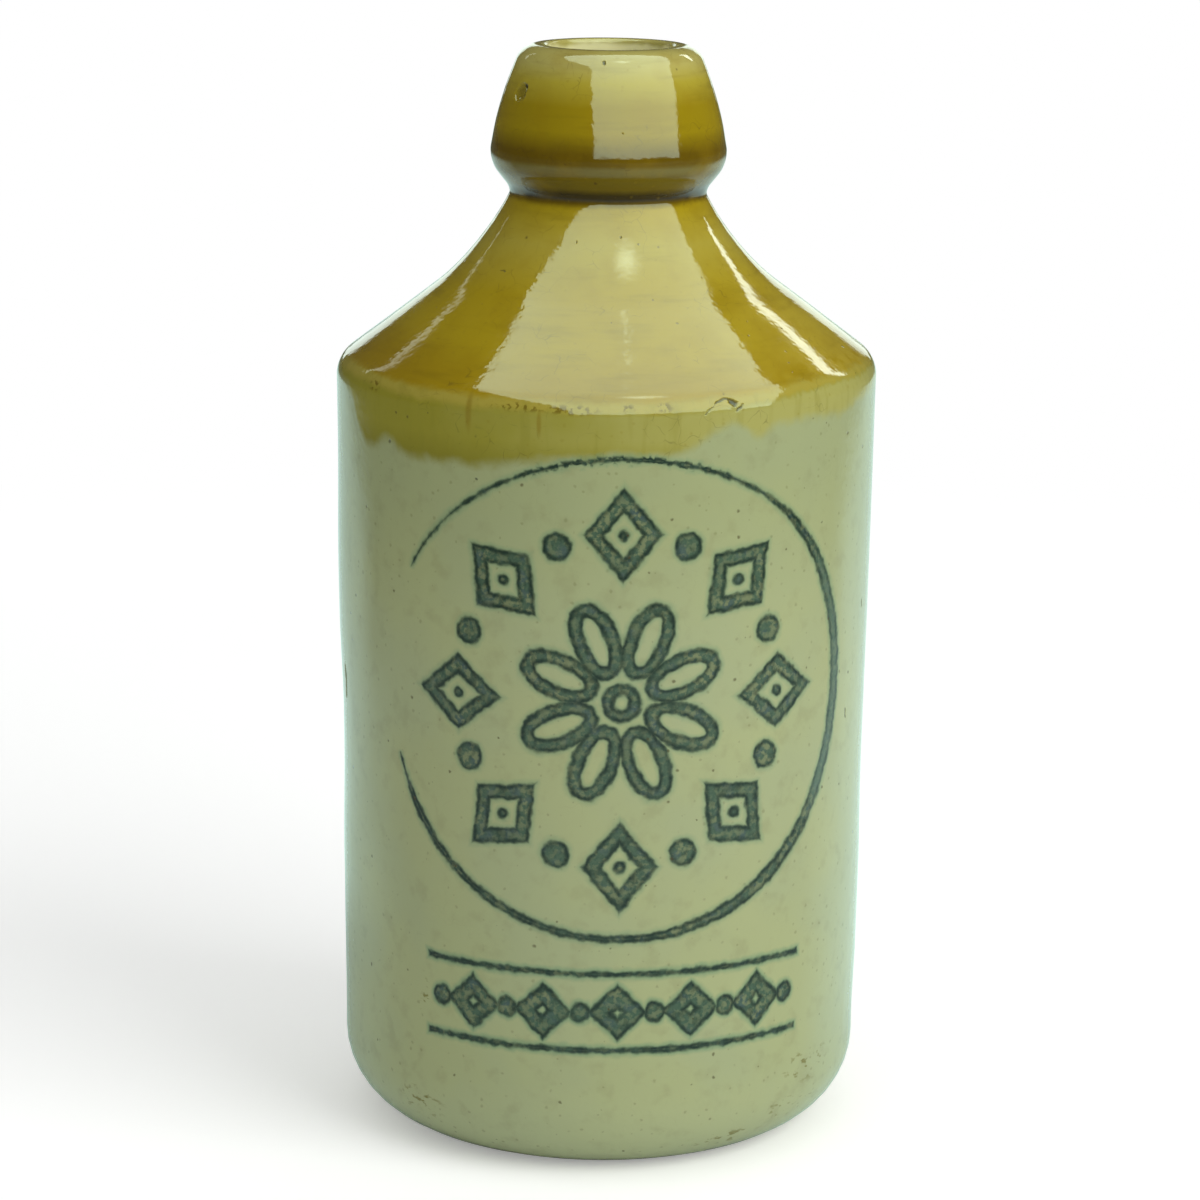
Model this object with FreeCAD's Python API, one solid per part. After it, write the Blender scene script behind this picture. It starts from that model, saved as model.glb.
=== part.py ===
"""Squat stoneware ginger beer bottle, turned as one hollow piece.

Millimetres. The origin is at the centre of the foot, and +Z is the axis of turning.
Every surface comes from one half section, which is turned once about the axis.
"""

import FreeCAD
import Part
import math
import os

# Heights of the outside, each measured from the corner below it
body_rise = 117.9        # foot to the corner between wall and shoulder
shoulder_rise = 16.8     # up the sloping shoulder to its bend into the neck
neck_rise = 8.7          # up the neck to the groove under the lip
underside_rise = 4.4     # out of the groove to the lower edge of the lip
lip_rise = 8.6           # up the lower half of the lip
rim_rise = 8.6           # up the upper half of the lip to the rim

# Radii of the outside at those corners, before they are rounded
foot_radius = 39.55
shoulder_radius = 40.9
neck_radius = 18.7
groove_radius = 14.6
lip_radius = 18.1
lip_middle_radius = 16.6
rim_radius = 13.1

# Roundings of the outside
heel_rounding = 12.6
shoulder_rounding = 5.6
neck_rounding = 36.0
groove_rounding = 1.3
lip_rounding = 2.7
lip_middle_rounding = 38.0
rim_rounding = 3.3

# Inside: the bore that holds the cork, and the thickness of the clay
bore_radius = 9.4
wall_thickness = 7.2
shoulder_thickness = 7.0
floor_thickness = 9.0

# Roundings of the inside
mouth_rounding = 1.2
bore_foot_rounding = 5.0
inner_shoulder_rounding = 12.0
inner_heel_rounding = 9.0

# Underside: a shallow hollow, so that the bottle stands on a flat ring
hollow_radius = 21.0
hollow_depth = 1.2


def section_point(radius, height):
    """A point of the half section, which lies in the XZ plane."""
    return FreeCAD.Vector(radius, 0, height)


def inset(start, end, thickness):
    """The straight run from start to end, moved into the clay by a thickness."""
    along = (end - start).normalize()
    into_clay = FreeCAD.Vector(-along.z, 0, along.x)
    return start + into_clay * thickness, end + into_clay * thickness


def crossing(first, second):
    """The point where two straight runs cross, if need be beyond their ends."""
    along = first[1] - first[0]
    other = second[1] - second[0]
    apart = second[0] - first[0]
    share = (apart.x * other.z - apart.z * other.x) / (along.x * other.z - along.z * other.x)
    return first[0] + along * share


def outside_corners():
    """Corners of the outside from foot to rim, each with its rounding."""
    stations = [
        (body_rise, shoulder_radius, shoulder_rounding),
        (shoulder_rise, neck_radius, neck_rounding),
        (neck_rise, groove_radius, groove_rounding),
        (underside_rise, lip_radius, lip_rounding),
        (lip_rise, lip_middle_radius, lip_middle_rounding),
        (rim_rise, rim_radius, rim_rounding),
    ]
    corners = [(section_point(foot_radius, 0), heel_rounding)]
    height = 0
    for rise, radius, rounding in stations:
        height = height + rise
        corners.append((section_point(radius, height), rounding))
    return corners


def inside_corners(outside):
    """Corners of the inside from the mouth to the middle of the floor."""
    foot, shoulder, neck = [point for point, rounding in outside[:3]]
    rim = outside[-1][0]
    mouth = section_point(bore_radius, rim.z)
    bore = (section_point(bore_radius, 0), mouth)
    wall = inset(foot, shoulder, wall_thickness)
    slope = inset(shoulder, neck, shoulder_thickness)
    floor_middle = section_point(0, floor_thickness)
    floor_line = (floor_middle, section_point(foot_radius, floor_thickness))
    return [
        (mouth, mouth_rounding),
        (crossing(bore, slope), bore_foot_rounding),
        (crossing(wall, slope), inner_shoulder_rounding),
        (crossing(wall, floor_line), inner_heel_rounding),
        (floor_middle, 0),
    ]


def arc_reaches(points, roundings):
    """How far each corner's arc runs back along its two straight runs.

    Where two arcs would meet on a short run, both are made smaller to fit it.
    """
    runs = [end - start for start, end in zip(points, points[1:])]
    wanted = [0]
    for before, after, rounding in zip(runs, runs[1:], roundings[1:]):
        wanted.append(rounding * math.tan(before.getAngle(after) / 2))
    wanted.append(0)
    fits = [1] * len(points)
    for index, run in enumerate(runs):
        both = wanted[index] + wanted[index + 1]
        if both > run.Length:
            share = run.Length / both
            fits[index] = min(fits[index], share)
            fits[index + 1] = min(fits[index + 1], share)
    return [reach * fit for reach, fit in zip(wanted, fits)]


def rounded_edges(corners):
    """Straight runs and tangent arcs through a list of corners."""
    points = [point for point, rounding in corners]
    reaches = arc_reaches(points, [rounding for point, rounding in corners])
    edges = []
    pen = points[0]
    for index in range(1, len(points)):
        corner = points[index]
        reach = reaches[index]
        back = (pen - corner).normalize()
        arc_start = corner + back * reach
        if (arc_start - pen).Length > 1e-6:
            edges.append(Part.LineSegment(pen, arc_start).toShape())
        pen = arc_start
        if reach > 0:
            onward = (points[index + 1] - corner).normalize()
            arc_end = corner + onward * reach
            half_turn = (-back).getAngle(onward) / 2
            radius = reach / math.tan(half_turn)
            bulge = (back + onward).normalize()
            centre = corner + bulge * (radius / math.cos(half_turn))
            edges.append(Part.Arc(arc_start, centre - bulge * radius, arc_end).toShape())
            pen = arc_end
    return edges


def underside_edges():
    """The shallow arc of the hollow, then nothing more up to the standing ring."""
    middle = section_point(0, hollow_depth)
    ring = section_point(hollow_radius, 0)
    halfway = section_point(hollow_radius / 2, hollow_depth * 3 / 4)
    return middle, [Part.Arc(middle, halfway, ring).toShape()], ring


def bottle():
    """The half section turned once about the axis."""
    outside = outside_corners()
    inside = inside_corners(outside)
    hollow_middle, hollow, ring = underside_edges()
    wall = rounded_edges([(ring, 0)] + outside + inside)
    axis = Part.LineSegment(inside[-1][0], hollow_middle).toShape()
    section = Part.Face(Part.Wire(hollow + wall + [axis]))
    return section.revolve(FreeCAD.Vector(0, 0, 0), FreeCAD.Vector(0, 0, 1), 360)


os.makedirs("parts", exist_ok=True)
shape = bottle()
shape.exportStep("parts/bottle.step")
print("valid", shape.isValid(), "solids", len(shape.Solids), "volume cm3", round(shape.Volume / 1000, 2))
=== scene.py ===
"""Stoneware ginger beer bottle: cream glaze, an amber dip over the shoulder, and a printed ornament.

The bottle is one turned piece. Its section is repeated here from the solid's sizes, in millimetres,
with a few edges rounded a little differently after the photo, and turned into a finer mesh with the
small unevenness and chips of the real one.
"""
import bisect
import math

import bmesh
import bpy
from mathutils import Matrix, Vector, geometry
from mathutils import noise as clay_noise


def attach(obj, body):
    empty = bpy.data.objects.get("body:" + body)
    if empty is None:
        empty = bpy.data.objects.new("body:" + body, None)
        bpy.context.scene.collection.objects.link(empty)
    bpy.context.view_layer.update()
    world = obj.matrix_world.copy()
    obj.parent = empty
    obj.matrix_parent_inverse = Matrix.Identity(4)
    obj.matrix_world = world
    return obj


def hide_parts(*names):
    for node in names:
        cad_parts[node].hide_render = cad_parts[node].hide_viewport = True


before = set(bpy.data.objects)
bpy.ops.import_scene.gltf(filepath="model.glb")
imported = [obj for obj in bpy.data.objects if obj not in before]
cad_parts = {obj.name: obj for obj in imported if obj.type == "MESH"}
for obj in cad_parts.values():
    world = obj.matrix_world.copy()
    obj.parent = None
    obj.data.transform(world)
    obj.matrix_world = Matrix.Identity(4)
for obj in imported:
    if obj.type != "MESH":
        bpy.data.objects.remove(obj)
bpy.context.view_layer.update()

MM = 0.001

# Camera: where it stands in metres, how it is turned in degrees, and its lens in millimetres
camera_place = Vector((0, -0.5991, 0.2190))
camera_down = 13.06
camera_left = 0.055
camera_roll = 0.654
camera_lens = 120.07

# Section in millimetres: radius, height and rounding of each corner
rim_middle = (10.3, 165.0, 0.0)
outside_corners = [
    (0.0, 1.2, 0.0),
    (10.5, 1.2, 184.0),
    (21.0, 0.0, 0.0),
    (39.55, 0.0, 12.6),
    (40.9, 117.9, 4.2),
    (18.7, 134.7, 36.0),
    (14.6, 143.4, 2.2),
    (18.1, 147.8, 4.8),
    (16.6, 156.4, 38.0),
    (13.1, 165.0, 3.3),
    rim_middle,
]
inside_corners = [
    rim_middle,
    (9.4, 165.0, 0.6),
    (9.4, 133.03, 5.0),
    (33.65, 114.7, 12.0),
    (32.46, 9.0, 9.0),
    (0.0, 9.0, 0.0),
]

# How finely the mesh is made
steps_around = 240
rounding_steps = 10
outside_spacing = 1.0
inside_spacing = 3.5
flaw_cuts = 6
flaw_margin = 1.0

# Unevenness of the turned clay, in millimetres
shoulder_tilt = 0.4
left_bulge = 0.25
right_bulge = 0.30
slow_wave = 0.10

# Chips and pits: path as (turn in degrees, height), then half width, depth and how dark they are coloured,
# from 0 to 1
flaws = [
    ([(-57.4, 158.6)], 1.45, 0.42, 0.3),
    ([(-55.6, 159.8), (-54.2, 159.2), (-54.4, 158.2)], 0.24, 0.14, 1.0),
    ([(-53.6, 159.6), (-53.2, 158.2)], 0.34, 0.16, 1.0),
    ([(-3.7, 163.5)], 0.34, 0.18, 0.9),
    ([(6.8, 153.6)], 0.22, 0.10, 0.9),
    ([(20.4, 116.0), (21.6, 116.9), (23.1, 117.5)], 0.15, 0.08, 0.6),
    ([(23.1, 117.5), (24.8, 118.0), (25.7, 117.8)], 0.21, 0.12, 0.8),
    ([(26.1, 117.5), (27.0, 117.3)], 0.50, 0.24, 1.0),
    ([(28.8, 117.0), (28.3, 116.5), (27.5, 116.1)], 0.25, 0.12, 0.9),
    ([(-50.8, 109.6)], 0.30, 0.12, 0.8),
    ([(-76.1, 71.5), (-75.7, 69.2), (-76.3, 67.0)], 0.45, 0.18, 0.8),
    ([(65.0, 67.6), (65.3, 66.4)], 0.22, 0.08, 1.0),
    ([(74.1, 83.0), (74.2, 82.2)], 0.24, 0.08, 1.0),
    ([(51.9, 97.9)], 0.20, 0.08, 0.9),
    ([(-27.0, 106.2)], 0.20, 0.08, 0.9),
    ([(5.8, 138.5)], 0.24, 0.10, 0.8),
    ([(-15.2, 137.7)], 0.20, 0.10, 0.8),
    ([(-47.2, 133.2), (-44.2, 133.1)], 0.14, 0.05, 0.8),
]

# Places on the wall are measured across it at this many millimetres to a degree
wall_per_degree = math.radians(40.3)

# Printed ornament: the middle of its ring, in degrees round the bottle and millimetres up it.
# The ring is wider than it is high, and open at the left.
print_turn = 3.9
print_height = 74.1
ring_radius = 35.8
ring_narrowing = 0.93
ring_gap_middle = math.radians(174.5)
ring_gap_half = math.radians(21)
band_drop = 47.1

# Rust marks: turn, height, reach across and reach up
rust_marks = [
    (53, 14.0, 8.0, 3.6),
    (50, 7.8, 9.0, 2.6),
    (31, 4.8, 9.0, 1.8),
    (-43, 9.0, 6.0, 3.6),
    (-41, 26.1, 1.8, 4.5),
]

# Colours of the glazes and the ink, as a screen shows them
cream_glaze = (154, 162, 121)
# Paler cream, painted on the foot as light bounced up from the floor
cream_painted_bounce_light = (164, 172, 132)
cream_patch = (159, 165, 117)
# Darker cream, painted under the shoulder as shade
cream_painted_shade = (140, 148, 104)
ochre_edge = (122, 117, 36)
ochre_glaze = (136, 131, 42)
ochre_pale = (156, 154, 86)
ochre_crease = (156, 144, 58)
amber_glaze = (157, 137, 20)
amber_light = (162, 148, 54)
deep_amber = (150, 128, 16)
# Darker amber, for soft clouds and for the left side just above the crease
darker_amber = (134, 110, 12)
# Lighter amber, painted on the right side as light
painted_right_light = (170, 152, 52)
lip_brown = (97, 84, 22)
lip_edge = (106, 98, 46)
lip_amber = (138, 120, 13)
lip_ochre = (161, 148, 48)
rim_ochre = (170, 162, 88)
brown_pool = (92, 74, 7)
drip_brown = (126, 106, 26)
# Thick dark glaze in the groove under the lip, darkened further with painted shade from the lip over it
groove_pool_and_shade = (46, 38, 18)
pore_brown = (104, 100, 62)
speck_brown = (66, 52, 24)
rust_brown = (108, 102, 42)
ink_dark = (25, 42, 34)
ink_fill = (52, 76, 62)
ink_thin = (110, 118, 84)
ink_violet = (56, 72, 82)
ink_grey = (80, 104, 90)
ink_bleed = (88, 132, 100)
inner_glaze = (226, 222, 170)
bare_clay = (150, 142, 112)
# Dark colour of the chips and pits
chip_dark = (40, 34, 20)


# Shape

def corner_reach(before, corner, after):
    """How far a round corner runs back along its two straight runs."""
    point = Vector(corner[:2])
    back = Vector(before[:2]) - point
    onward = Vector(after[:2]) - point
    half_turn = (math.pi - back.angle(onward)) / 2
    return corner[2] * math.tan(half_turn)


def section_wire(mesh, corners, spacing):
    """Draw straight runs through the corners, round the corners and divide the long runs."""
    points = [mesh.verts.new((radius, 0, height)) for radius, height, rounding in corners]
    for start, end in zip(points, points[1:]):
        mesh.edges.new((start, end))
    for index in range(1, len(corners) - 1):
        reach = corner_reach(corners[index - 1], corners[index], corners[index + 1])
        if reach > 0:
            bmesh.ops.bevel(mesh, geom=[points[index]], offset=reach, offset_type="OFFSET",
                            segments=rounding_steps, profile=0.5, affect="VERTICES", material=-1)
    for edge in list(mesh.edges):
        cuts = int(edge.calc_length() / spacing)
        if cuts:
            bmesh.ops.subdivide_edges(mesh, edges=[edge], cuts=cuts)


def turn_round(mesh):
    """Turn a section once about the axis."""
    bmesh.ops.spin(mesh, geom=mesh.verts[:] + mesh.edges[:], cent=(0, 0, 0), axis=(0, 0, 1),
                   angle=math.tau, steps=steps_around, use_merge=True)


def join(target, other, material_index):
    """Copy another mesh into the target, with a material of its own."""
    carried = bpy.data.meshes.new("carried")
    other.to_mesh(carried)
    first = len(target.faces)
    target.from_mesh(carried)
    target.faces.ensure_lookup_table()
    for face in target.faces[first:]:
        face.material_index = material_index
    bpy.data.meshes.remove(carried)
    other.free()


class Outline:
    """The outside's radius at each height between the foot and the rim, as a smooth curve."""

    def __init__(self, mesh):
        stations = sorted((vert.co.z, vert.co.x) for vert in mesh.verts if 2 < vert.co.z < 164.9)
        self.heights = [height for height, radius in stations]
        self.radii = [radius for height, radius in stations]

    def slope(self, index):
        """How the radius changes with height at one station."""
        first = max(index - 1, 0)
        last = min(index + 1, len(self.heights) - 1)
        return (self.radii[last] - self.radii[first]) / (self.heights[last] - self.heights[first])

    def radius(self, height):
        """The radius at a height."""
        index = bisect.bisect_right(self.heights, height) - 1
        index = min(max(index, 0), len(self.heights) - 2)
        step = self.heights[index + 1] - self.heights[index]
        share = min(max((height - self.heights[index]) / step, 0), 1)
        square = share * share
        cube = square * share
        return ((2 * cube - 3 * square + 1) * self.radii[index]
                + (cube - 2 * square + share) * step * self.slope(index)
                + (3 * square - 2 * cube) * self.radii[index + 1]
                + (cube - square) * step * self.slope(index + 1))

    def point(self, turn, height):
        """The point of the outside at a turn from the front, in degrees, and a height."""
        radius = self.radius(height)
        angle = math.radians(turn)
        return Vector((radius * math.sin(angle), -radius * math.cos(angle), height))


def distance_to_path(place, path):
    """The least distance from a place to a path of one or more points."""
    if len(path) == 1:
        return (place - path[0]).length
    distances = []
    for start, end in zip(path, path[1:]):
        closest_point, share = geometry.intersect_point_line(place, start, end)
        closest_point = start.lerp(end, min(max(share, 0), 1))
        distances.append((place - closest_point).length)
    return min(distances)


def outside_faces(mesh):
    """The faces that carry the outside's glaze."""
    return [face for face in mesh.faces if face.material_index == 0]


def refine_flaws(mesh, outline, placed_flaws):
    """Divide the faces round the flaws finely, and set the new points on the true curve."""
    edges = set()
    for face in outside_faces(mesh):
        middle = face.calc_center_median()
        for path, half_width, depth, darkness in placed_flaws:
            reach = half_width + flaw_margin
            if abs(middle.z - path[0].z) < reach + 5 and distance_to_path(middle, path) < reach:
                edges.update(face.edges)
    made = bmesh.ops.subdivide_edges(mesh, edges=list(edges), cuts=flaw_cuts, use_grid_fill=True)
    for vert in [item for item in made["geom_inner"] if isinstance(item, bmesh.types.BMVert)]:
        across = Vector((vert.co.x, vert.co.y, 0)).normalized() * outline.radius(vert.co.z)
        vert.co = across + Vector((0, 0, vert.co.z))


def carve_flaws(mesh, placed_flaws):
    """Sink each flaw with a steep side and a slight raised edge, and note how dark it is coloured."""
    chipped = mesh.verts.layers.float.new("chipped")
    mesh.normal_update()
    outer = {vert for face in outside_faces(mesh) for vert in face.verts}
    for vert in outer:
        place = vert.co.copy()
        sunk = 0
        for path, half_width, depth, darkness in placed_flaws:
            if abs(place.z - path[0].z) > half_width + 7:
                continue
            wandered = place + clay_noise.noise_vector(place * 1.2) * 0.22
            rough = clay_noise.noise(place * 2.3) * 0.3 * min(half_width, 0.6)
            share = (distance_to_path(wandered, path) + rough) / half_width
            if share < 1:
                sunk += depth * (1 - share ** 4) * (1 + 0.3 * clay_noise.noise(place * 3.1))
                vert[chipped] = max(vert[chipped], darkness * (1 - share ** 3))
            elif share < 1.7:
                sunk -= 0.12 * depth * (1.7 - share) / 0.7 * rise(share, 1, 1.2)
        if sunk:
            vert.co = place - vert.normal * sunk


def rise(value, start, end):
    """Smooth step from 0 at start to 1 at end."""
    share = min(max((value - start) / (end - start), 0), 1)
    return share * share * (3 - 2 * share)


def unevenness(turn, height):
    """How far the real wall stands off the true section: outwards and upwards, in millimetres."""
    on_wall = rise(height, 3, 20) * (1 - rise(height, 158, 164))
    slow = math.sin(2 * turn + 0.6 + height / 30) + math.sin(3 * turn + 2.1 - height / 17)
    ripples = math.sin(height / 3.1 + 1.3 * math.sin(turn + 0.4)) * 0.12
    outwards = slow_wave * ((slow + ripples) / 2 - 1.1)
    to_left = max(-math.sin(turn), 0) ** 2
    upper_bulge = rise(height, 60, 86) * (1 - rise(height, 88, 108))
    lower_hollow = rise(height, 40, 58) * (1 - rise(height, 64, 78))
    outwards += left_bulge * to_left * (upper_bulge - lower_hollow)
    to_right = max(math.sin(turn), 0) ** 2
    foot_bulge = rise(height, 14, 28) * (1 - rise(height, 38, 58))
    outwards += right_bulge * to_right * foot_bulge
    on_shoulder = rise(height, 88, 112) * (1 - rise(height, 124, 140))
    upwards = shoulder_tilt * math.sin(turn) * on_shoulder
    return outwards * on_wall, upwards


def make_uneven(mesh):
    """Move the outside's points off the true section."""
    outer = {vert for face in outside_faces(mesh) for vert in face.verts}
    for vert in outer:
        across = Vector((vert.co.x, vert.co.y, 0))
        if across.length > 1:
            turn = math.atan2(vert.co.x, -vert.co.y)
            outwards, upwards = unevenness(turn, vert.co.z)
            vert.co += across.normalized() * outwards + Vector((0, 0, upwards))


def bottle_mesh():
    """The whole bottle: uneven, chipped outside and plain inside, joined at the middle of the rim."""
    mesh = bmesh.new()
    section_wire(mesh, outside_corners, outside_spacing)
    outline = Outline(mesh)
    turn_round(mesh)
    inside = bmesh.new()
    section_wire(inside, inside_corners, inside_spacing)
    turn_round(inside)
    join(mesh, inside, 1)
    bmesh.ops.remove_doubles(mesh, verts=mesh.verts, dist=0.002)
    bmesh.ops.recalc_face_normals(mesh, faces=mesh.faces)
    placed_flaws = [([outline.point(*place) for place in path], half_width, depth, darkness)
                    for path, half_width, depth, darkness in flaws]
    refine_flaws(mesh, outline, placed_flaws)
    carve_flaws(mesh, placed_flaws)
    make_uneven(mesh)
    for face in mesh.faces:
        face.smooth = True
    bmesh.ops.scale(mesh, vec=(MM, MM, MM), verts=mesh.verts)
    return mesh


def as_object(name, mesh, materials):
    """Put a bmesh into the scene as an object at the origin."""
    data = bpy.data.meshes.new(name)
    mesh.to_mesh(data)
    mesh.free()
    for material in materials:
        data.materials.append(material)
    piece = bpy.data.objects.new(name, data)
    bpy.context.scene.collection.objects.link(piece)
    return piece


# Fields and nodes

def screen_colour(red, green, blue):
    """Turn a colour as a screen shows it into the plain light that shaders take."""
    def channel(value):
        share = value / 255
        if share <= 0.04045:
            return share / 12.92
        return ((share + 0.055) / 1.055) ** 2.4
    return (channel(red), channel(green), channel(blue), 1)


class Field:
    """A value that changes over the surface: sums and products of fields become Math nodes."""

    def __init__(self, tree, socket):
        self.tree = tree
        self.socket = socket

    def __add__(self, other):
        return calc(self.tree, "ADD", self, other)

    def __radd__(self, other):
        return calc(self.tree, "ADD", other, self)

    def __sub__(self, other):
        return calc(self.tree, "SUBTRACT", self, other)

    def __rsub__(self, other):
        return calc(self.tree, "SUBTRACT", other, self)

    def __mul__(self, other):
        return calc(self.tree, "MULTIPLY", self, other)

    def __rmul__(self, other):
        return calc(self.tree, "MULTIPLY", other, self)

    def __truediv__(self, other):
        return calc(self.tree, "DIVIDE", self, other)

    def __abs__(self):
        return calc(self.tree, "ABSOLUTE", self)


def plug(tree, socket, value):
    """Give a node's input a field, a socket, a screen colour or a plain value."""
    if isinstance(value, Field):
        value = value.socket
    if isinstance(value, bpy.types.NodeSocket):
        tree.links.new(value, socket)
    elif socket.type == "RGBA" and len(value) == 3:
        socket.default_value = screen_colour(*value)
    else:
        socket.default_value = value


def calc(tree, operation, *values):
    """One Math node as a field."""
    node = tree.nodes.new("ShaderNodeMath")
    node.operation = operation
    for socket, value in zip(node.inputs, values):
        plug(tree, socket, value)
    return Field(tree, node.outputs["Value"])


def least(first, *others):
    """The smallest of several fields."""
    for other in others:
        first = calc(first.tree, "MINIMUM", first, other)
    return first


def most(first, *others):
    """The largest of several fields."""
    for other in others:
        first = calc(first.tree, "MAXIMUM", first, other)
    return first


def fade(field, start, end):
    """0 where the field is at start, 1 where it is at end, smooth between."""
    node = field.tree.nodes.new("ShaderNodeMapRange")
    node.interpolation_type = "SMOOTHSTEP"
    plug(field.tree, node.inputs["Value"], field)
    plug(field.tree, node.inputs["From Min"], start)
    plug(field.tree, node.inputs["From Max"], end)
    return Field(field.tree, node.outputs["Result"])


def near(field, centre, reach):
    """1 where the field is at centre, fading to 0 at its reach."""
    return 1 - fade(abs(field - centre), 0, reach)


def noise_node(tree, place, size, detail, stretch):
    """Noise with patches of about one size in millimetres, drawn out along the axes by the stretch."""
    mapping = tree.nodes.new("ShaderNodeMapping")
    plug(tree, mapping.inputs["Vector"], place)
    mapping.inputs["Scale"].default_value = [1 / size / along for along in stretch]
    node = tree.nodes.new("ShaderNodeTexNoise")
    plug(tree, node.inputs["Vector"], mapping.outputs["Vector"])
    node.inputs["Scale"].default_value = 1
    node.inputs["Detail"].default_value = detail
    return node


def noise(tree, place, size, detail=2.0, stretch=(1, 1, 1)):
    """Soft random field from 0 to 1."""
    return Field(tree, noise_node(tree, place, size, detail, stretch).outputs["Fac"])


def shaken(tree, place, size, amount):
    """A place moved about at random by up to half an amount in millimetres."""
    shift = noise_node(tree, place, size, 0.0, (1, 1, 1)).outputs["Color"]
    node = tree.nodes.new("ShaderNodeVectorMath")
    node.operation = "MULTIPLY_ADD"
    plug(tree, node.inputs[0], shift)
    node.inputs[1].default_value = (amount, amount, amount)
    plug(tree, node.inputs[2], place)
    return node.outputs["Vector"]


def mix_colour(tree, factor, below, above):
    """Lay one colour over another where the factor is 1."""
    node = tree.nodes.new("ShaderNodeMix")
    node.data_type = "RGBA"
    colours = [socket for socket in node.inputs if socket.type == "RGBA"]
    plug(tree, node.inputs["Factor"], factor)
    plug(tree, colours[0], below)
    plug(tree, colours[1], above)
    return [socket for socket in node.outputs if socket.type == "RGBA"][0]


def colour_steps(field, stops):
    """Colour that runs through a list of (value, screen colour) pairs as the field rises."""
    tree = field.tree
    low = stops[0][0]
    high = stops[-1][0]
    share = tree.nodes.new("ShaderNodeMapRange")
    plug(tree, share.inputs["Value"], field)
    share.inputs["From Min"].default_value = low
    share.inputs["From Max"].default_value = high
    ramp = tree.nodes.new("ShaderNodeValToRGB")
    tree.links.new(share.outputs["Result"], ramp.inputs["Fac"])
    elements = ramp.color_ramp.elements
    for value, colour in stops[1:-1]:
        elements.new((value - low) / (high - low)).color = screen_colour(*colour)
    elements[0].color = screen_colour(*stops[0][1])
    elements[-1].color = screen_colour(*stops[-1][1])
    return ramp.outputs["Color"]


def line_height(field, points, low, high):
    """A smooth curve through (turn, height) points, for turns from -180 to 180 degrees."""
    tree = field.tree
    node = tree.nodes.new("ShaderNodeFloatCurve")
    plug(tree, node.inputs["Value"], (field + 180) / 360)
    curve = node.mapping.curves[0]
    places = [((turn + 180) / 360, (height - low) / (high - low)) for turn, height in points]
    curve.points[0].location = places[0]
    curve.points[-1].location = places[-1]
    for place in places[1:-1]:
        curve.points.new(*place)
    node.mapping.update()
    return Field(tree, node.outputs["Value"]) * (high - low) + low


# Node groups

def new_group(name, inputs, outputs):
    """An empty node group with named sockets."""
    tree = bpy.data.node_groups.new(name, "ShaderNodeTree")
    for label, kind in inputs:
        tree.interface.new_socket(label, in_out="INPUT", socket_type=kind)
    for label, kind in outputs:
        tree.interface.new_socket(label, in_out="OUTPUT", socket_type=kind)
    entry = tree.nodes.new("NodeGroupInput")
    leave = tree.nodes.new("NodeGroupOutput")
    return tree, entry, leave


def use_group(tree, group, **values):
    """Place a group in a tree and give back its outputs as fields."""
    node = tree.nodes.new("ShaderNodeGroup")
    node.node_tree = group
    for label, value in values.items():
        plug(tree, node.inputs[label], value)
    return {socket.name: Field(tree, socket) for socket in node.outputs}


def make_places_group():
    """Where a point is on the bottle: its place, turn from the front and height."""
    outputs = [("Place", "NodeSocketVector"), ("Turn", "NodeSocketFloat"), ("Height", "NodeSocketFloat")]
    tree, entry, leave = new_group("bottle_places", [], outputs)
    coordinates = tree.nodes.new("ShaderNodeTexCoord")
    scaled = tree.nodes.new("ShaderNodeVectorMath")
    scaled.operation = "SCALE"
    tree.links.new(coordinates.outputs["Object"], scaled.inputs[0])
    scaled.inputs["Scale"].default_value = 1 / MM
    parts = tree.nodes.new("ShaderNodeSeparateXYZ")
    tree.links.new(scaled.outputs["Vector"], parts.inputs["Vector"])
    across = Field(tree, parts.outputs["X"])
    forward = Field(tree, parts.outputs["Y"])
    tree.links.new(scaled.outputs["Vector"], leave.inputs["Place"])
    plug(tree, leave.inputs["Turn"], calc(tree, "DEGREES", calc(tree, "ARCTAN2", across, forward * -1)))
    plug(tree, leave.inputs["Height"], Field(tree, parts.outputs["Z"]))
    return tree


def make_specks_group():
    """Small round specks scattered through the glaze, one in some of the cells."""
    inputs = [("Place", "NodeSocketVector"), ("Spacing", "NodeSocketFloat"),
              ("Size", "NodeSocketFloat"), ("Share", "NodeSocketFloat")]
    tree, entry, leave = new_group("glaze_specks", inputs, [("Mask", "NodeSocketFloat")])
    spacing = Field(tree, entry.outputs["Spacing"])
    cells = tree.nodes.new("ShaderNodeTexVoronoi")
    plug(tree, cells.inputs["Vector"], shaken(tree, entry.outputs["Place"], 0.5, 0.25))
    plug(tree, cells.inputs["Scale"], calc(tree, "DIVIDE", 1, spacing))
    chance = tree.nodes.new("ShaderNodeSeparateColor")
    tree.links.new(cells.outputs["Color"], chance.inputs["Color"])
    away = Field(tree, cells.outputs["Distance"]) * spacing
    size = Field(tree, entry.outputs["Size"]) * (Field(tree, chance.outputs["Green"]) * 0.7 + 0.3)
    spot = 1 - fade(away, size * 0.3, size)
    chosen = calc(tree, "LESS_THAN", Field(tree, chance.outputs["Red"]), Field(tree, entry.outputs["Share"]))
    plug(tree, leave.inputs["Mask"], spot * chosen)
    return tree


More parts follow.
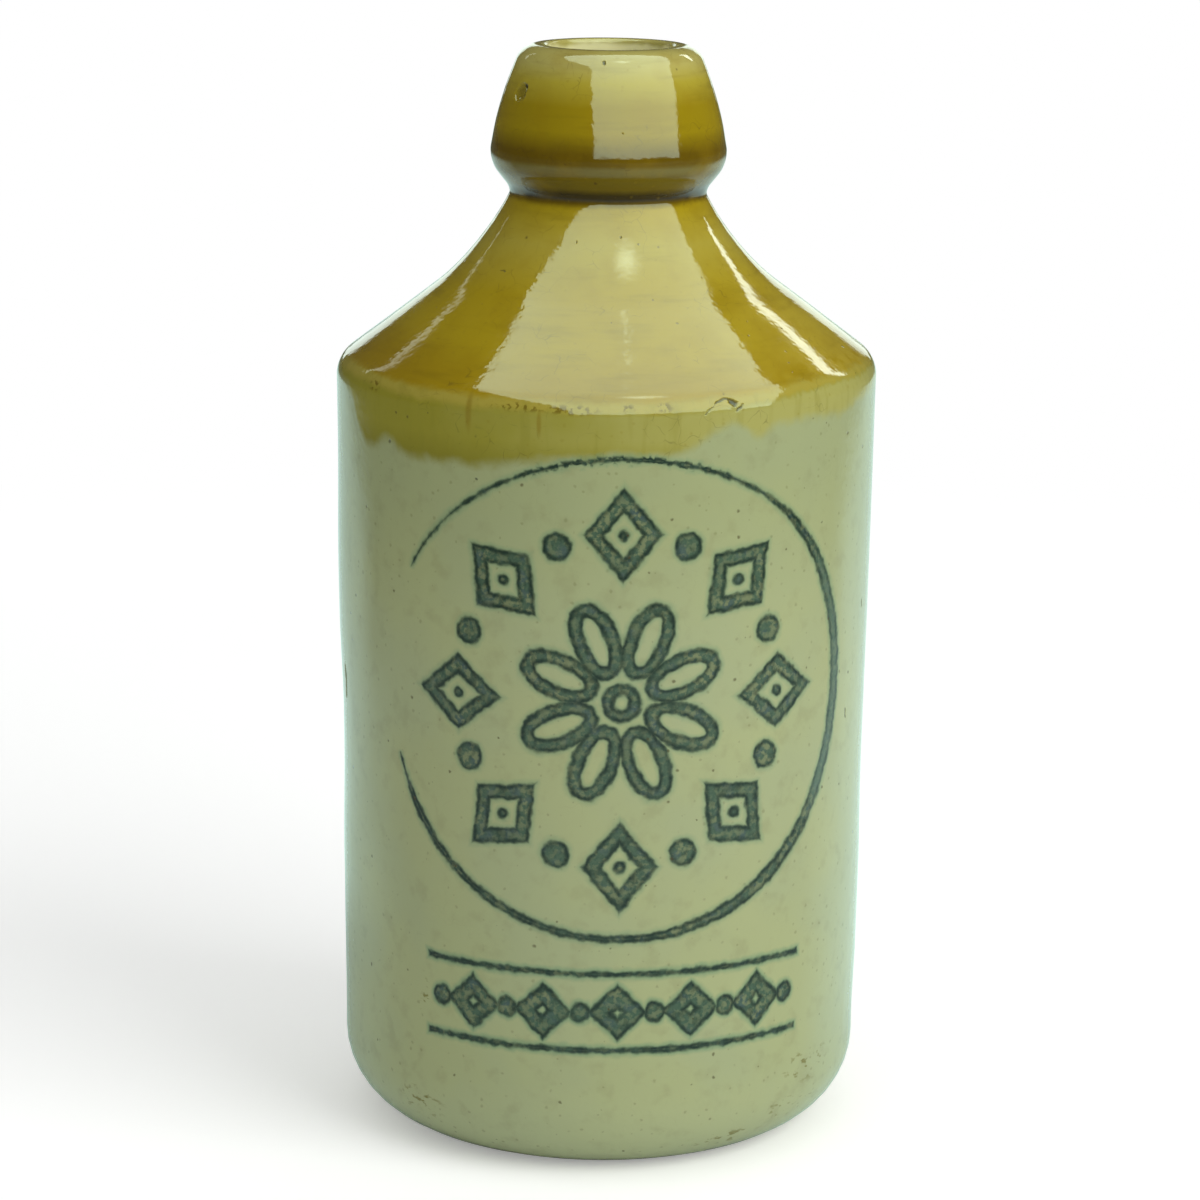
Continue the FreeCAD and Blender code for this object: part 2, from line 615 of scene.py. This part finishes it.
def make_crazing_group():
    """Fine cracks between cells of the glaze, in patches."""
    inputs = [("Place", "NodeSocketVector"), ("Cell", "NodeSocketFloat"), ("Width", "NodeSocketFloat")]
    tree, entry, leave = new_group("glaze_crazing", inputs, [("Mask", "NodeSocketFloat")])
    cell = Field(tree, entry.outputs["Cell"])
    cracks = tree.nodes.new("ShaderNodeTexVoronoi")
    cracks.feature = "DISTANCE_TO_EDGE"
    plug(tree, cracks.inputs["Vector"], shaken(tree, entry.outputs["Place"], 1.6, 1.2))
    plug(tree, cracks.inputs["Scale"], calc(tree, "DIVIDE", 1, cell))
    away = Field(tree, cracks.outputs["Distance"]) * cell
    patches = fade(noise(tree, entry.outputs["Place"], 7, 2), 0.45, 0.62)
    broken = fade(noise(tree, entry.outputs["Place"], 1.3, 1), 0.35, 0.6)
    line = 1 - fade(away, 0, Field(tree, entry.outputs["Width"]))
    plug(tree, leave.inputs["Mask"], line * patches * broken)
    return tree


def make_skin_group():
    """Height of the fired glaze in millimetres: waves, turning rings and orange peel."""
    inputs = [("Place", "NodeSocketVector"), ("Waves", "NodeSocketFloat"),
              ("Rings", "NodeSocketFloat"), ("Peel", "NodeSocketFloat")]
    tree, entry, leave = new_group("glaze_skin", inputs, [("Height", "NodeSocketFloat")])
    place = entry.outputs["Place"]
    slow = noise(tree, place, 9, 1)
    quick = noise(tree, place, 3.4, 1) * 0.35
    rings = noise(tree, place, 1.4, 1, stretch=(14, 14, 1))
    peel = noise(tree, place, 1.1, 1)
    height = (slow + quick) * Field(tree, entry.outputs["Waves"])
    height = height + rings * Field(tree, entry.outputs["Rings"])
    plug(tree, leave.inputs["Height"], height + peel * Field(tree, entry.outputs["Peel"]))
    return tree


# Printed ornament

def lozenge(along, aside, half_length, half_width):
    """Distance outside a lozenge, in millimetres, negative inside it."""
    slope = half_length * half_width / math.hypot(half_length, half_width)
    return (abs(along) / half_length + abs(aside) / half_width - 1) * slope


def oval(along, aside, half_length, half_width):
    """Distance outside a long oval, negative inside it."""
    tree = along.tree
    along_share = along / half_length
    aside_share = aside / half_width
    far = calc(tree, "SQRT", along_share * along_share + aside_share * aside_share)
    along_slope = along_share / half_length
    aside_slope = aside_share / half_width
    steep = calc(tree, "SQRT", along_slope * along_slope + aside_slope * aside_slope)
    return far * (far - 1) / (steep + 0.001)


def dot(along, aside, radius):
    """Distance outside a round dot, negative inside it."""
    return calc(along.tree, "SQRT", along * along + aside * aside) - radius


def stroked(distance, half_stroke):
    """The outline of a shape, drawn with a stroke."""
    return abs(distance) - half_stroke


def round_spokes(out, angle, count, shift):
    """Distances along and aside of the nearest of several spokes."""
    tree = out.tree
    half_step = math.pi / count
    local = calc(tree, "WRAP", angle + shift, half_step, -half_step)
    return out * calc(tree, "COSINE", local), out * calc(tree, "SINE", local)


def polar(across, up):
    """Distance from a middle, and the angle round it from the right."""
    tree = across.tree
    out = calc(tree, "SQRT", across * across + up * up)
    return out, calc(tree, "ARCTAN2", up, across)


def ring_distance(place, across, up):
    """Distance outside the ring's line: thick at the right, beaded at the top, open at the left."""
    tree = across.tree
    out, angle = polar(across * ring_narrowing, up)
    right = fade(calc(tree, "COSINE", angle + math.radians(12)), 0.2, 0.95)
    lower_left = fade(calc(tree, "COSINE", angle + math.radians(118)), 0.1, 0.9)
    from_gap = calc(tree, "COSINE", angle - ring_gap_middle)
    taper = 1 - fade(from_gap, math.cos(1.8 * ring_gap_half), math.cos(ring_gap_half))
    beads = fade(calc(tree, "SINE", angle), 0.88, 0.98) * fade(noise(tree, place, 1.1, 1), 0.46, 0.6)
    half_stroke = right * 0.82 + lower_left * 0.36 + beads * 0.3 + 0.22
    return stroked(out - ring_radius, half_stroke * (taper * 0.8 + 0.2)) + (1 - fade(taper, 0, 0.05)) * 1.5


def wreath_distance(across, up):
    """Distance outside the rosette and the lozenges and dots round it."""
    out, angle = polar(across, up)
    petal_along, petal_aside = round_spokes(out, angle, 8, math.pi / 8)
    petals = stroked(oval(petal_along - 9.8, petal_aside, 4.9, 2.4), 1.05)
    side_along, side_aside = round_spokes(out, angle, 8, 0)
    lozenges = stroked(lozenge(side_along - 24.8, side_aside, 5.2, 4.2), 1.15)
    seeds = dot(side_along - 24.8, side_aside, 0.85)
    tips = dot(petal_along - 24.8, petal_aside, 2.1)
    return least(petals, lozenges, seeds, tips, stroked(out - 2.0, 0.9))


def band_distance(across, up):
    """Distance outside the band of lozenges and dots between two lines."""
    tree = across.tree
    step = 5.6
    first = calc(tree, "WRAP", across, step, -step)
    second = calc(tree, "WRAP", across + step, step, -step)
    lozenges = most(stroked(lozenge(first, up, 2.6, 2.5), 1.35), abs(across) - 5 * step)
    dots = dot(second, up, 1.6)
    lines = stroked(abs(up) - 5.9, 0.4)
    return most(least(lozenges, dots, lines), abs(across) - 30.6)


def ornament_distance(tree, spot):
    """Distance outside the printed strokes, in millimetres, negative in the ink."""
    across = (spot["Turn"] - print_turn) * wall_per_degree
    up = spot["Height"] - print_height
    ring = ring_distance(spot["Place"], across, up)
    return least(ring, wreath_distance(across, up), band_distance(across, up + band_drop))


def print_over(tree, spot, colour):
    """Lay the ink over a colour: a soft bleed, a patchy fill and a darker outline."""
    on_front = calc(tree, "LESS_THAN", abs(spot["Turn"] - print_turn), 75)
    on_band = 1 - fade(spot["Height"], 34, 36)
    at_right = fade(spot["Turn"], 49, 53)
    rough = (noise(tree, spot["Place"], 1.3, 1.5) - 0.5) * 0.75
    drift = (noise(tree, spot["Place"], 3.2, 1) - 0.5) * 0.5
    away = ornament_distance(tree, spot) + rough + drift
    bleed = (1 - fade(away, -0.1, 1.0)) * on_front
    fill = (1 - fade(away, -0.28, 0.24)) * on_front
    outline = near(away, -0.28, 0.62) * on_front
    worn = fade(noise(tree, spot["Place"], 0.9, 3), 0.44, 0.6)
    tired = fade(noise(tree, spot["Place"], 9, 1), 0.42, 0.62)
    blots = fade(noise(tree, spot["Place"], 1.6, 3), 0.5, 0.68)
    cool = fade(noise(tree, spot["Place"], 2.2, 2), 0.5, 0.7)
    grain = noise(tree, spot["Place"], 0.5, 2)
    inside = mix_colour(tree, cool * 0.6, ink_fill, ink_violet)
    inside = mix_colour(tree, worn * (tired * 0.45 + 0.45), inside, ink_thin)
    inside = mix_colour(tree, blots * 0.6, inside, ink_dark)
    inside = mix_colour(tree, at_right * 0.5, inside, ink_grey)
    weight = fade(noise(tree, spot["Place"], 2.4, 2), 0.36, 0.6) * 0.4 + 0.55
    weight = weight * (1 - at_right * 0.35)
    colour = mix_colour(tree, bleed * (on_band * 0.2 + 0.42), colour, ink_bleed)
    colour = mix_colour(tree, fill * (grain * 0.3 + 0.74), colour, inside)
    return mix_colour(tree, outline * weight * (grain * 0.5 + 0.7), colour, ink_dark)


# Glazes

dip_line = [
    (-180, 110), (-150, 109), (-120, 110.5), (-95, 113.5), (-80, 116.2), (-72, 115.6),
    (-64, 111.2), (-57, 108.1), (-51, 109.9), (-47, 108.2), (-38, 107.8), (-20.6, 108.7),
    (-1, 110.2), (15.5, 110.9), (20.3, 112.4), (27.5, 114.4), (31.9, 112.5), (38.4, 113.8),
    (56, 113.7), (71.5, 115.0), (80, 115.0), (90, 114.2), (120, 111), (150, 110.5), (180, 110),
]

# How much higher than at the front the deep amber begins
crease_line = [
    (-180, 0.4), (-120, 0.6), (-70, 0.9), (-55, 0.5), (-40, 0.2), (-20, 0.2), (0, 0), (20, 0.3),
    (40, 1.0), (52, 1.6), (66, 1.8), (90, 1.2), (180, 0.4),
]

amber_by_height = [
    (106, ochre_edge), (108.5, ochre_edge), (112, ochre_glaze), (116.0, ochre_glaze),
    (116.9, ochre_crease), (117.5, ochre_crease), (118.4, deep_amber), (120, deep_amber),
    (124, amber_glaze), (130, amber_glaze), (137, amber_light), (142.1, amber_glaze),
    # In the groove under the lip: thick glaze, darkened further by painted shade
    (142.9, brown_pool), (143.5, groove_pool_and_shade), (144.3, groove_pool_and_shade), (145.2, lip_brown),
    (147.0, lip_brown), (147.6, lip_edge), (148.2, lip_edge), (148.9, brown_pool), (150.4, brown_pool),
    (153.5, lip_amber), (157, lip_amber), (160.5, lip_ochre), (163, rim_ochre), (165, rim_ochre),
]

# Brown spots where the glaze broke over the edge of the shoulder: turn, height, reach across and up
crease_marks = [
    (-18, 117.0, 6.0, 0.9),
    (-7, 116.9, 5.5, 1.0),
    (4.5, 117.2, 1.2, 0.9),
    (12, 117.3, 1.6, 1.0),
    (-57, 117.0, 2.0, 1.2),
]

# Thin runs of amber below the edge of the shoulder: turn, height, reach across and up
drips = [
    (-28.9, 115.8, 0.7, 4.0),
    (-13.5, 114.8, 0.5, 2.6),
]


def near_spot(spot, turn, height, across, up):
    """1 at a place on the wall, fading to 0 at its reach across and up, in millimetres."""
    aside = (spot["Turn"] - turn) * (wall_per_degree / across)
    above = (spot["Height"] - height) / up
    return 1 - fade(calc(spot["Turn"].tree, "SQRT", aside * aside + above * above), 0.3, 1)


def cream_colour(tree, spot):
    """Cream glaze with soft clouds, large and small, with painted shade darker under the shoulder and
    painted bounce light from the floor paler at the foot.
    """
    clouds = fade(noise(tree, spot["Place"], 16, 2), 0.35, 0.65)
    colour = mix_colour(tree, clouds * 0.6, cream_glaze, cream_patch)
    # Painted shade: darker under the shoulder
    colour = mix_colour(tree, fade(spot["Height"], 80, 108) * 0.5, colour, cream_painted_shade)
    # Painted light: paler at the foot, as light bounced up from the floor
    colour = mix_colour(tree, (1 - fade(spot["Height"], 4, 16)) * 0.7, colour, cream_painted_bounce_light)
    mottle = fade(noise(tree, spot["Place"], 3.2, 3), 0.5, 0.75)
    return mix_colour(tree, mottle * 0.16, colour, pore_brown)


def amber_colour(tree, spot):
    """Amber glaze, dark where it pooled and pale where it ran thin, with painted light on the right side
    just above the crease.
    """
    lift = line_height(spot["Turn"], crease_line, 0, 2) * near(spot["Height"], 118, 8)
    at_right = fade(spot["Turn"], 35, 50)
    slow_wander = (noise(tree, spot["Place"], 5, 3) - 0.5) * (at_right + 1)
    quick_wander = (noise(tree, spot["Place"], 1.2, 2) - 0.5) * (at_right * 0.9 + 0.7)
    wander = (slow_wander + quick_wander) * (1 - fade(spot["Height"], 134, 140) * 0.7)
    height = spot["Height"] - lift + wander
    colour = colour_steps(height, amber_by_height)
    below_crease = 1 - fade(height, 117.5, 118.3)
    thin = fade(spot["Turn"] + (noise(tree, spot["Place"], 6, 2) - 0.5) * 40, -45, 40)
    pale = thin * fade(height, 108, 113) * (1 - fade(height, 115.9, 116.9))
    colour = mix_colour(tree, pale * 0.95, colour, ochre_pale)
    runs = fade(noise(tree, spot["Place"], 1.6, 2, stretch=(1, 1, 7)), 0.5, 0.72)
    colour = mix_colour(tree, runs * below_crease * 0.25, colour, ochre_edge)
    dripping = most(*[near_spot(spot, *drip) for drip in drips])
    colour = mix_colour(tree, dripping * 0.6, colour, drip_brown)
    # Darker amber on the left, just above the crease
    left_darker = (1 - fade(spot["Turn"], -60, -25)) * (1 - fade(height, 120, 126)) * (1 - below_crease)
    colour = mix_colour(tree, left_darker * 0.6, colour, darker_amber)
    # Painted light: lighter amber on the right, just above the crease
    painted_lit_right = fade(spot["Turn"], 20, 60) * (1 - fade(height, 126, 134)) * (1 - below_crease)
    colour = mix_colour(tree, painted_lit_right * 0.6, colour, painted_right_light)
    edge_pool = at_right * near(height, 119.0, 1.6) * fade(noise(tree, spot["Place"], 3, 2), 0.4, 0.6)
    colour = mix_colour(tree, edge_pool * 0.8, colour, deep_amber)
    streaks = fade(noise(tree, spot["Place"], 1.2, 3, stretch=(9, 9, 1)), 0.48, 0.8)
    colour = mix_colour(tree, streaks * (1 - below_crease) * 0.25, colour, brown_pool)
    clouds = fade(noise(tree, spot["Place"], 6, 3), 0.45, 0.7)
    return mix_colour(tree, clouds * (1 - below_crease) * 0.25, colour, darker_amber)


def crease_spots(tree, spot):
    """Brown spots where the glaze broke over the edge of the shoulder."""
    marks = most(*[near_spot(spot, *mark) for mark in crease_marks])
    return marks * fade(noise(tree, spot["Place"], 0.75, 2), 0.48, 0.6)


def dip_amount(tree, spot):
    """1 where the amber dip covers the cream, 0 below its wandering edge."""
    edge = line_height(spot["Turn"], dip_line, 100, 120)
    wander = (noise(tree, spot["Place"], 3.4, 4) - 0.5) * 2.4
    return fade(spot["Height"] - edge + wander, -1.0, 1.2)


def rust_amount(tree, spot):
    """Small dashes of rust low on the wall."""
    marks = most(*[near_spot(spot, *mark) for mark in rust_marks])
    return marks * fade(noise(tree, spot["Place"], 0.85, 3, stretch=(2, 2, 1)), 0.56, 0.66)


def new_material(name, roughness):
    """A material with nothing but its Principled shader and output."""
    material = bpy.data.materials.new(name)
    material.use_nodes = True
    tree = material.node_tree
    tree.nodes.clear()
    shader = tree.nodes.new("ShaderNodeBsdfPrincipled")
    shader.inputs["Roughness"].default_value = roughness
    output = tree.nodes.new("ShaderNodeOutputMaterial")
    tree.links.new(shader.outputs["BSDF"], output.inputs["Surface"])
    return material, tree, shader


def bump(tree, shader, height):
    """Raise the surface by a height in millimetres."""
    node = tree.nodes.new("ShaderNodeBump")
    node.inputs["Distance"].default_value = MM
    plug(tree, node.inputs["Height"], height)
    tree.links.new(node.outputs["Normal"], shader.inputs["Normal"])


def vertex_mask(tree, name):
    """A mask that was written on the mesh."""
    node = tree.nodes.new("ShaderNodeAttribute")
    node.attribute_name = name
    return Field(tree, node.outputs["Fac"])


def outer_glaze_material(groups):
    """The outside: cream below, amber dip above, ink on the front, and the marks of use."""
    material, tree, shader = new_material("outer_glaze", 0.09)
    spot = use_group(tree, groups["places"])
    place = spot["Place"]
    dip = dip_amount(tree, spot)
    pores = use_group(tree, groups["specks"], Place=place, Spacing=1.6, Size=0.42, Share=0.75)["Mask"]
    specks = use_group(tree, groups["specks"], Place=place, Spacing=3.2, Size=0.42, Share=0.55)["Mask"]
    crazing = use_group(tree, groups["crazing"], Place=place, Cell=3.2, Width=0.07)["Mask"]
    chipped = vertex_mask(tree, "chipped")
    underside = 1 - fade(spot["Height"], 0.15, 0.7)
    colour = cream_colour(tree, spot)
    colour = mix_colour(tree, pores * 0.34, colour, pore_brown)
    colour = mix_colour(tree, dip, colour, amber_colour(tree, spot))
    colour = mix_colour(tree, pores * dip * 0.22, colour, drip_brown)
    colour = mix_colour(tree, crease_spots(tree, spot) * dip * 0.75, colour, brown_pool)
    colour = print_over(tree, spot, colour)
    colour = mix_colour(tree, specks * 0.65, colour, speck_brown)
    colour = mix_colour(tree, crazing * (dip * 0.3 + 0.05), colour, speck_brown)
    colour = mix_colour(tree, rust_amount(tree, spot) * 0.8, colour, rust_brown)
    colour = mix_colour(tree, underside, colour, bare_clay)
    # Chips and pits are coloured darker
    colour = mix_colour(tree, chipped, colour, chip_dark)
    plug(tree, shader.inputs["Base Color"], colour)
    dull = fade(noise(tree, place, 5, 2), 0.4, 0.7) * 0.04 + 0.06
    plug(tree, shader.inputs["Roughness"], dull + chipped * 0.3 + underside * 0.6)
    skin = use_group(tree, groups["skin"], Place=place, Waves=0.06, Rings=0.004, Peel=0.02)["Height"]
    bump(tree, shader, skin - specks * 0.02)
    return material


def inner_glaze_material(groups):
    """The inside: pale glaze, with a little amber run in over the rim."""
    material, tree, shader = new_material("inner_glaze", 0.18)
    spot = use_group(tree, groups["places"])
    clouds = fade(noise(tree, spot["Place"], 10, 2), 0.35, 0.65)
    colour = mix_colour(tree, clouds * 0.3, inner_glaze, cream_patch)
    edge = noise(tree, spot["Place"], 4, 2) * 2 + 163.2
    colour = mix_colour(tree, fade(spot["Height"] - edge, -0.4, 0.6), colour, rim_ochre)
    plug(tree, shader.inputs["Base Color"], colour)
    skin = use_group(tree, groups["skin"], Place=spot["Place"], Waves=0.08, Rings=0.02, Peel=0.01)["Height"]
    bump(tree, shader, skin)
    return material


def build_bottle():
    """The bottle's own mesh and finish, in place of the plain solid."""
    groups = {
        "places": make_places_group(),
        "specks": make_specks_group(),
        "crazing": make_crazing_group(),
        "skin": make_skin_group(),
    }
    materials = [outer_glaze_material(groups), inner_glaze_material(groups)]
    bottle = as_object("glazed_bottle", bottle_mesh(), materials)
    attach(bottle, "root")
    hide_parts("bottle")


# Studio: light cards stand round the bottle, each between two edges given as directions from it
card_centre = Vector((0, 0, 0.13))
card_distance = 3.0
softbox_tint = (0.80, 1.0, 0.78, 1)
strip_tint = (0.90, 1.0, 0.86, 1)
softbox_left = [(-0.231, -0.947, 0.155), (-0.273, -0.893, 0.358), (-0.347, -0.712, 0.610),
                (-0.500, -0.420, 0.745), (-0.546, -0.060, 0.835), (-0.450, 0.265, 0.853),
                (-0.392, 0.31, 0.866)]
softbox_right = [(0.936, -0.313, 0.10), (0.918, -0.230, 0.320), (0.870, -0.060, 0.500),
                 (0.725, 0.145, 0.673), (0.505, 0.365, 0.782), (0.445, 0.410, 0.796),
                 (0.428, 0.435, 0.792)]
right_strip_front = [(0.704, 0.628, 0.332), (0.700, 0.600, 0.390), (0.652, 0.603, 0.460),
                     (0.612, 0.618, 0.494), (0.566, 0.628, 0.534), (0.530, 0.640, 0.557),
                     (0.500, 0.655, 0.567), (0.478, 0.639, 0.631)]
right_strip_back = [(0.697, 0.637, 0.325), (0.672, 0.652, 0.352), (0.624, 0.668, 0.402),
                    (0.590, 0.676, 0.440), (0.546, 0.687, 0.479), (0.508, 0.706, 0.494),
                    (0.471, 0.721, 0.509), (0.446, 0.688, 0.601)]
left_strip_front = [(-0.680, 0.674, 0.318), (-0.614, 0.694, 0.386), (-0.529, 0.708, 0.467),
                    (-0.490, 0.664, 0.564)]
left_strip_back = [(-0.668, 0.688, 0.314), (-0.590, 0.718, 0.374), (-0.502, 0.730, 0.458),
                   (-0.471, 0.688, 0.550)]
dark_room = (0.045, 0.048, 0.042, 1)
back_panel = (1.4, 1.65, 1.55, 1)
fill_light = (0.60, 0.60, 0.60, 1)
floor_seen = (0.90, 0.90, 0.90, 1)
floor_front = (0.36, 0.44, 0.44, 1)
floor_front_far = (0.13, 0.15, 0.12, 1)
floor_behind = (0.68, 0.90, 0.86, 1)
floor_behind_glow = (0.66, 0.96, 0.90, 1)


def card_material(name, strength, tint, glow_centre=None, glow_reach=0):
    """Light that only reflections see, the same all over or fading from a centre."""
    material = bpy.data.materials.new(name)
    material.use_nodes = True
    material.cycles.emission_sampling = "NONE"
    material.use_transparent_shadow = False
    tree = material.node_tree
    tree.nodes.clear()
    shine = Field(tree, tree.nodes.new("ShaderNodeLightPath").outputs["Is Glossy Ray"]) * strength
    if glow_centre:
        distance = tree.nodes.new("ShaderNodeVectorMath")
        distance.operation = "DISTANCE"
        tree.links.new(tree.nodes.new("ShaderNodeTexCoord").outputs["Object"], distance.inputs[0])
        distance.inputs[1].default_value = glow_centre
        shine = shine * (1 - fade(Field(tree, distance.outputs["Value"]), 0, glow_reach))
    glow = tree.nodes.new("ShaderNodeEmission")
    glow.inputs["Color"].default_value = tint
    plug(tree, glow.inputs["Strength"], shine)
    clear = tree.nodes.new("ShaderNodeBsdfTransparent")
    both = tree.nodes.new("ShaderNodeAddShader")
    tree.links.new(glow.outputs["Emission"], both.inputs[0])
    tree.links.new(clear.outputs["BSDF"], both.inputs[1])
    output = tree.nodes.new("ShaderNodeOutputMaterial")
    tree.links.new(both.outputs["Shader"], output.inputs["Surface"])
    return material


def stand_card(name, mesh, material):
    """Stand a card in the studio where only reflections see it."""
    card = as_object(name, mesh, [material])
    card.visible_camera = False
    card.visible_diffuse = False
    card.visible_transmission = False
    card.visible_volume_scatter = False
    card.visible_shadow = False


def light_card(name, left_edge, right_edge, strength, tint):
    """A sheet of light stretched between two edges."""
    mesh = bmesh.new()
    sides = []
    for directions in (left_edge, right_edge):
        points = [mesh.verts.new(card_centre + Vector(way).normalized() * card_distance)
                  for way in directions]
        sides += [mesh.edges.new(pair) for pair in zip(points, points[1:])]
    bmesh.ops.bridge_loops(mesh, edges=sides)
    stand_card(name, mesh, card_material(name, strength, tint))


def glow_card(name, way, reach, strength):
    """A round glow in front of the softbox, brightest in its middle."""
    way = Vector(way).normalized()
    centre = card_centre + way * card_distance * 0.87
    mesh = bmesh.new()
    placed = Matrix.Translation(centre) @ way.to_track_quat("Z", "Y").to_matrix().to_4x4()
    bmesh.ops.create_circle(mesh, cap_ends=True, segments=32, radius=reach, matrix=placed)
    stand_card(name, mesh, card_material(name, strength, softbox_tint, centre, reach))


def key_lamp():
    """A large soft lamp from the right, which only lights the surface."""
    lamp = bpy.data.lights.new("key_lamp", "AREA")
    lamp.size = 0.9
    lamp.energy = 10.0
    holder = bpy.data.objects.new("key_lamp", lamp)
    holder.visible_glossy = False
    way = Vector((0.68, -0.56, 0.46)).normalized()
    holder.location = card_centre + way * 1.2
    holder.rotation_euler = way.to_track_quat("Z", "Y").to_euler()
    bpy.context.scene.collection.objects.link(holder)


def studio_world():
    """White behind the bottle, an even fill, and in reflections a dark room with two pale panels."""
    world = bpy.data.worlds.new("studio")
    bpy.context.scene.world = world
    world.cycles.sampling_method = "NONE"
    world.use_nodes = True
    tree = world.node_tree
    tree.nodes.clear()
    coordinates = tree.nodes.new("ShaderNodeTexCoord")
    parts = tree.nodes.new("ShaderNodeSeparateXYZ")
    tree.links.new(coordinates.outputs["Generated"], parts.inputs["Vector"])
    aside = abs(Field(tree, parts.outputs["X"]))
    narrow = fade(aside, 0.035, 0.055) * (1 - fade(aside, 0.28, 0.31))
    low = 1 - fade(Field(tree, parts.outputs["Z"]), 0.20, 0.25)
    behind = calc(tree, "GREATER_THAN", Field(tree, parts.outputs["Y"]), 0)
    path = tree.nodes.new("ShaderNodeLightPath")
    mirrored = mix_colour(tree, narrow * low * behind, dark_room, back_panel)
    colour = mix_colour(tree, Field(tree, path.outputs["Is Glossy Ray"]), fill_light, mirrored)
    colour = mix_colour(tree, Field(tree, path.outputs["Is Camera Ray"]), colour, (255, 255, 255))
    background = tree.nodes.new("ShaderNodeBackground")
    tree.links.new(colour, background.inputs["Color"])
    output = tree.nodes.new("ShaderNodeOutputWorld")
    tree.links.new(background.outputs["Background"], output.inputs["Surface"])


def studio_floor():
    """A wide pale floor that keeps the bottle's shadow and turns plain white further off.

    Reflections see it dark in front and bright behind the bottle, like the photo's room.
    """
    mesh = bmesh.new()
    bmesh.ops.create_grid(mesh, x_segments=1, y_segments=1, size=6)
    bmesh.ops.translate(mesh, vec=(0, 0, -0.0001), verts=mesh.verts)
    material, tree, shader = new_material("pale_floor", 0.7)
    path = tree.nodes.new("ShaderNodeLightPath")
    seen = Field(tree, path.outputs["Is Camera Ray"])
    mirrored = Field(tree, path.outputs["Is Glossy Ray"])
    parts = tree.nodes.new("ShaderNodeSeparateXYZ")
    tree.links.new(tree.nodes.new("ShaderNodeTexCoord").outputs["Object"], parts.inputs["Vector"])
    across = Field(tree, parts.outputs["X"])
    backward = Field(tree, parts.outputs["Y"])
    distance = calc(tree, "SQRT", across * across + backward * backward)
    far_off = fade(distance, 0.16, 0.5) * seen
    plug(tree, shader.inputs["Specular IOR Level"], (1 - far_off) * 0.1)
    away = fade(distance, 0.15, 0.35)
    behind_near = fade((backward + 0.03) / distance, 0, 0.6)
    behind_away = fade(backward / distance, 0.3, 0.6) * (1 - fade(abs(across), 0.35, 0.56))
    behind_away = behind_away * (1 - fade(distance, 0.75, 1.3)) * 0.9
    behind_away = most(behind_away, fade(backward / distance, 0.98, 0.992))
    behind = behind_near * (1 - away) + behind_away * away
    in_front = mix_colour(tree, fade(distance, 0.25, 0.45), floor_front, floor_front_far)
    in_mirror = mix_colour(tree, behind, in_front, floor_behind)
    colour = mix_colour(tree, mirrored, floor_seen, in_mirror)
    plug(tree, shader.inputs["Base Color"], mix_colour(tree, far_off, colour, (0, 0, 0)))
    shine = mix_colour(tree, mirrored, (255, 255, 255), floor_behind_glow)
    plug(tree, shader.inputs["Emission Color"], shine)
    at_left = fade(across, 0, -0.06)
    glow = mirrored * behind * fade(distance - at_left * 0.05, 0.045, 0.1) * 0.36
    plug(tree, shader.inputs["Emission Strength"], seen * 0.28 + far_off * 0.72 + glow)
    as_object("floor", mesh, [material])


def studio_camera():
    """The camera at the photo's angle."""
    data = bpy.data.cameras.new("camera")
    data.lens = camera_lens
    camera = bpy.data.objects.new("camera", data)
    turn = Matrix.Rotation(math.radians(camera_left), 4, "Z")
    tip = Matrix.Rotation(math.radians(90 - camera_down), 4, "X")
    roll = Matrix.Rotation(math.radians(camera_roll), 4, "Z")
    camera.matrix_world = Matrix.Translation(camera_place) @ turn @ tip @ roll
    bpy.context.scene.collection.objects.link(camera)
    bpy.context.scene.camera = camera


studio_camera()
build_bottle()
studio_floor()
studio_world()
key_lamp()
light_card("softbox", softbox_left, softbox_right, 4.7, softbox_tint)
light_card("right_strip", right_strip_front, right_strip_back, 6.0, strip_tint)
light_card("left_strip", left_strip_front, left_strip_back, 1.7, strip_tint)
glow_card("upper_glow", (0.176, -0.322, 0.930), 0.45, 6.0)
glow_card("lower_glow", (0.065, 0.124, 0.990), 0.07, 3.2)
bpy.context.scene.view_settings.view_transform = "Standard"
